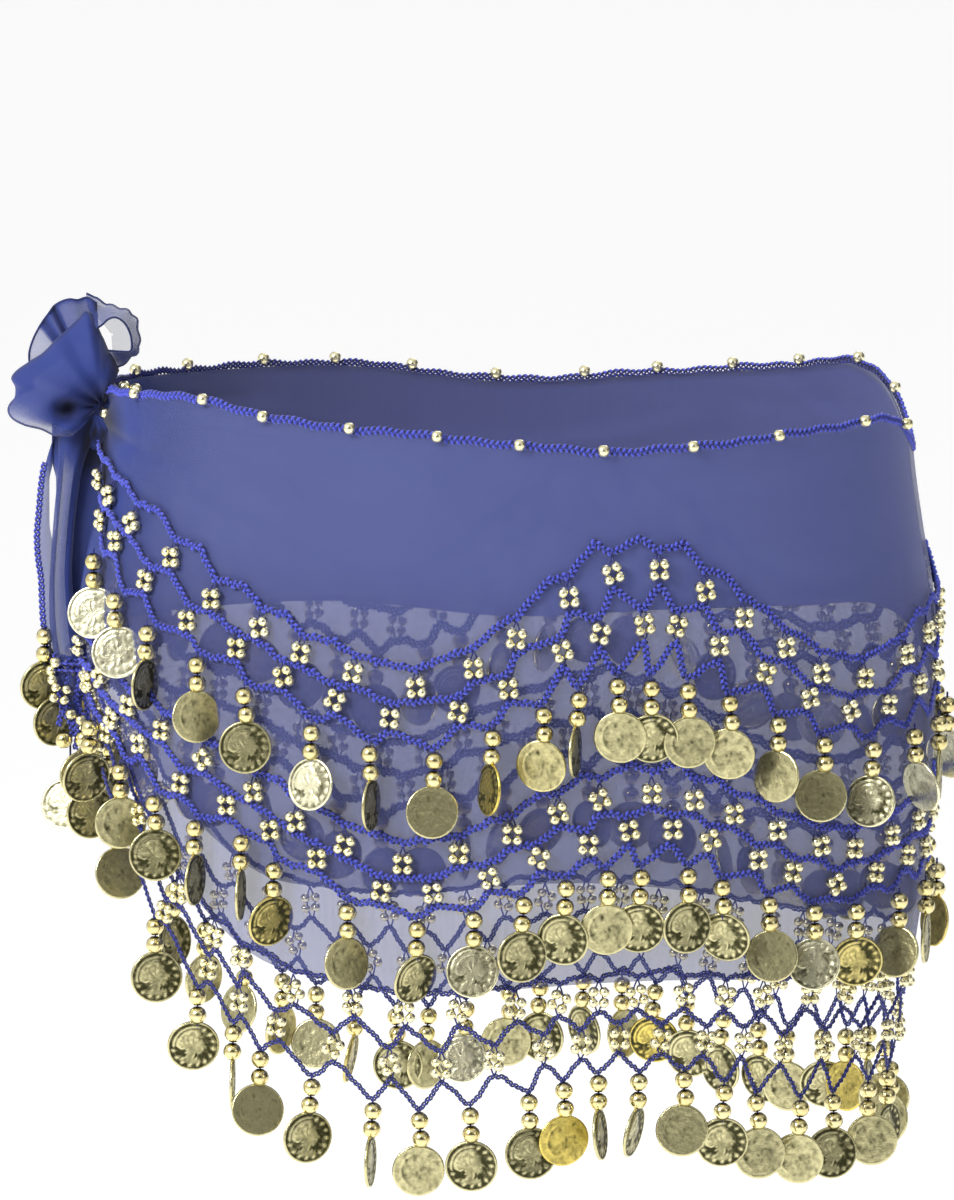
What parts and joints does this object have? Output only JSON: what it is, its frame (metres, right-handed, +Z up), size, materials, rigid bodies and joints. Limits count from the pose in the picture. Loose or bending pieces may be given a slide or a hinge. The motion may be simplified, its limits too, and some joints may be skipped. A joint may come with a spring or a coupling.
{
  "type": "belly dance hip scarf",
  "caption": "Sheer blue hip scarf with crochet net tiers, gold beads and hanging coins, in the hollow form it takes when worn and tied at one hip.",
  "frame": {"origin": "centre of the waist opening, at the mean height of the scarf's top edge, where the wearer's hips hold it", "axes": "+X to the wearer's left, -Y to the wearer's front, +Z up"},
  "size_m": [0.3841, 0.2642, 0.3478],
  "materials": {
    "chiffon": "sheer royal blue chiffon",
    "crochet": "royal blue crochet yarn",
    "coin": "stamped pale gold with dark patina in the relief",
    "bead": "polished pale gold"
  },
  "bodies": {
    "root": {"cloth_front": "chiffon", "cloth_back": "chiffon", "band_inner": "chiffon", "knot": "chiffon", "bow_front": "chiffon", "bow_back": "chiffon", "bow_loop": "chiffon", "tail": "chiffon", "edging_front": "crochet", "edging_back": "crochet", "edging_tail": "crochet", "net_tail": "crochet", "net_front_1": "crochet", "net_front_2": "crochet", "net_front_3": "crochet", "net_back_1": "crochet", "net_back_2": "crochet", "net_back_3": "crochet", "coins_front_1": "coin", "coins_front_2": "coin", "coins_back_1": "coin", "coins_back_2": "coin", "coins_front_3_right": "coin", "coins_front_3_middle": "coin", "coins_front_3_left": "coin", "coins_back_3_right": "coin", "coins_back_3_middle": "coin", "coins_back_3_left": "coin", "coins_tail_side": "coin", "coins_tail_foot": "coin"}
  },
  "joints": []
}
